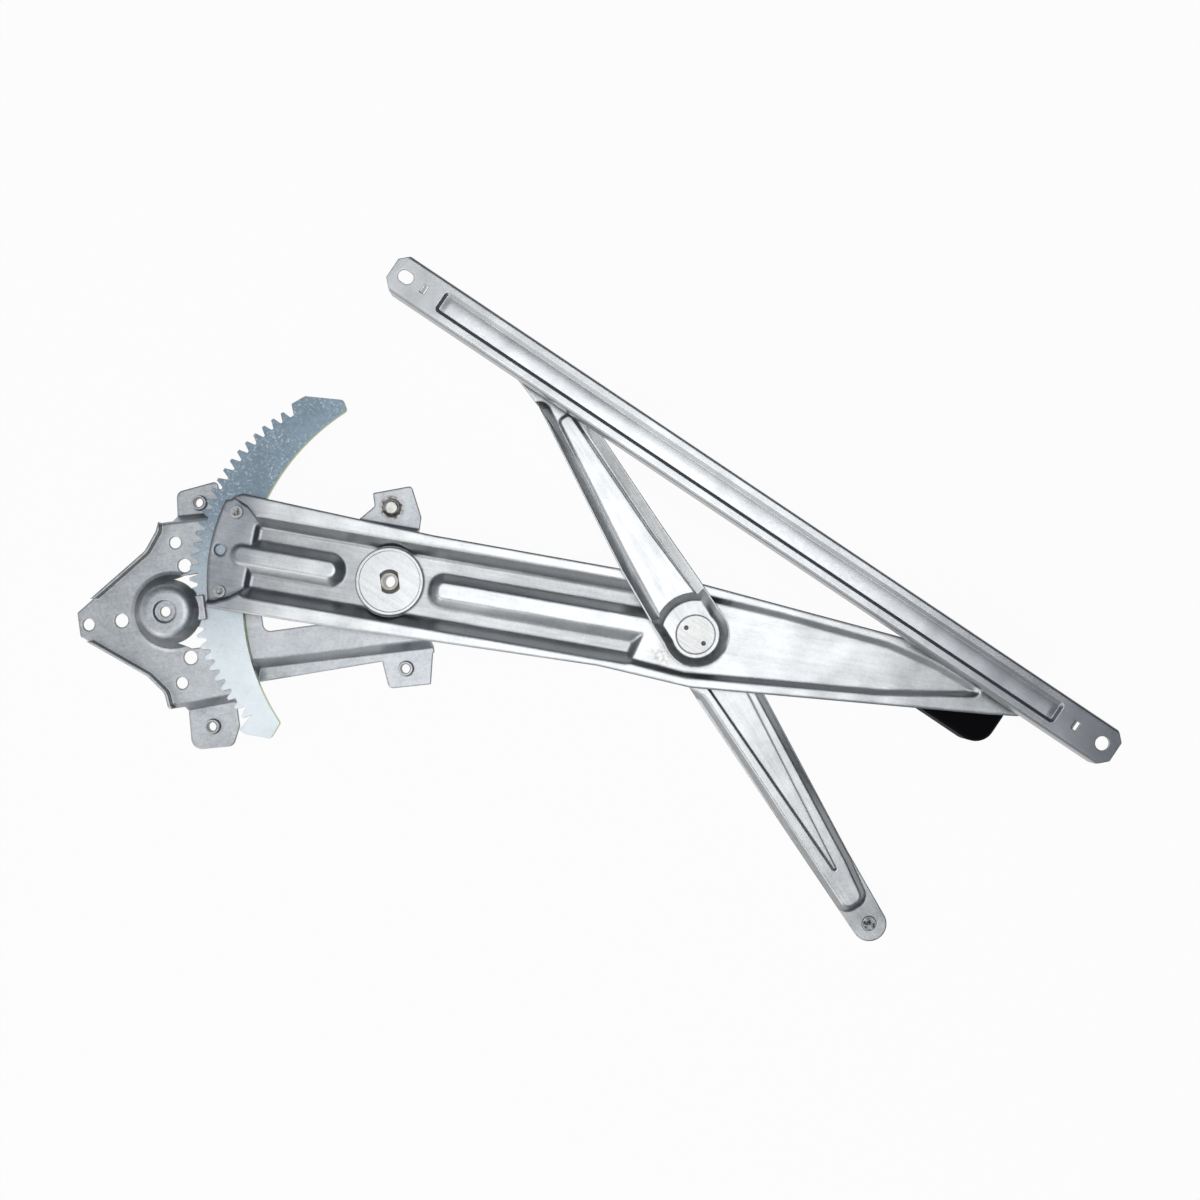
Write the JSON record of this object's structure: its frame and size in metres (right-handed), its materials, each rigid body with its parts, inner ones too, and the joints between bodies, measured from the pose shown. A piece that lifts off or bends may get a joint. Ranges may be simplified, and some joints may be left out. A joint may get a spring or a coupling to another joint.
{
  "type": "window regulator",
  "caption": "Crossed-arm window lifter for a car door: a toothed sector turns a long pressed-steel arm on a base plate, and a cross arm keeps the glass rail level.",
  "frame": {"origin": "where the main pivot's axis meets the plane of the base plate's ears' backs", "axes": "+X along the lift rail towards the far end of the long arm, +Y up in the door, +Z from the door's inner panel towards the glass"},
  "size_m": [0.5078, 0.2912, 0.0402],
  "materials": {
    "plate_steel": "galvanised, matt",
    "arm_steel": "zinc plated, satin",
    "rail_steel": "zinc plated, satin",
    "sector_steel": "zinc plated, bluish",
    "rivet_steel": "plain, slightly tarnished",
    "stud_steel": "bright",
    "clip_steel": "phosphated",
    "black_rubber": "matt",
    "white_plastic": "natural",
    "bearing_plastic": "greased"
  },
  "bodies": {
    "base": {"base_plate": "plate_steel", "clinch_nuts": "rivet_steel", "locating_stud": "stud_steel", "pivot_washer": "bearing_plastic", "pivot_bush": "bearing_plastic", "pivot_pin": "rivet_steel", "pivot_disc": "plate_steel"},
    "main_arm": {"main_arm": "arm_steel", "sector_gear": "sector_steel", "sector_rivets": "rivet_steel", "main_stud": "stud_steel", "main_clip": "clip_steel", "stop_buffer": "black_rubber", "buffer_pin": "rivet_steel"},
    "cross_arm": {"cross_arm_upper": "arm_steel", "cross_arm_lower": "arm_steel", "cross_pivot": "stud_steel", "cross_washer_front": "bearing_plastic", "cross_washer_rear": "bearing_plastic", "upper_stud": "stud_steel", "upper_clip": "clip_steel", "lower_stud": "stud_steel", "lower_clip": "clip_steel"},
    "main_shoe": {"main_shoe": "white_plastic"},
    "upper_shoe": {"upper_shoe": "white_plastic"},
    "lower_roller": {"lower_roller": "white_plastic"},
    "lift_rail": {"lift_rail": "rail_steel"}
  },
  "joints": [
    {"name": "main_arm_pivot", "type": "hinge", "parent": "base", "child": "main_arm", "pos_m": [0, 0, 0.0135], "axis": [0, 0, 1], "range_deg": [-30, 59]},
    {"name": "cross_arm_pivot", "type": "hinge", "parent": "main_arm", "child": "cross_arm", "pos_m": [0.15538, 0.06898, 0.018], "axis": [0, 0, 1], "range_deg": [-80, 34]},
    {"name": "main_shoe_pivot", "type": "hinge", "parent": "main_arm", "child": "main_shoe", "pos_m": [0.31532, 0.13999, 0.034], "axis": [0, 0, 1], "range_deg": [-40, 17]},
    {"name": "upper_shoe_pivot", "type": "hinge", "parent": "cross_arm", "child": "upper_shoe", "pos_m": [-0.00457, 0.13999, 0.034], "axis": [0, 0, 1], "range_deg": [-17, 40]},
    {"name": "lower_roller_spin", "type": "hinge", "parent": "cross_arm", "child": "lower_roller", "pos_m": [0.32437, -0.00989, 0.005], "axis": [0, 0, 1], "continuous": true},
    {"name": "rail_slide", "type": "slide", "parent": "main_shoe", "child": "lift_rail", "axis": [1, 0, 0], "range_m": [-0.019, 0.021]}
  ],
  "couplings": [
    {"joint": "main_shoe_pivot", "follows": "cross_arm_pivot", "ratio": 0.5},
    {"joint": "upper_shoe_pivot", "follows": "cross_arm_pivot", "ratio": -0.5}
  ]
}
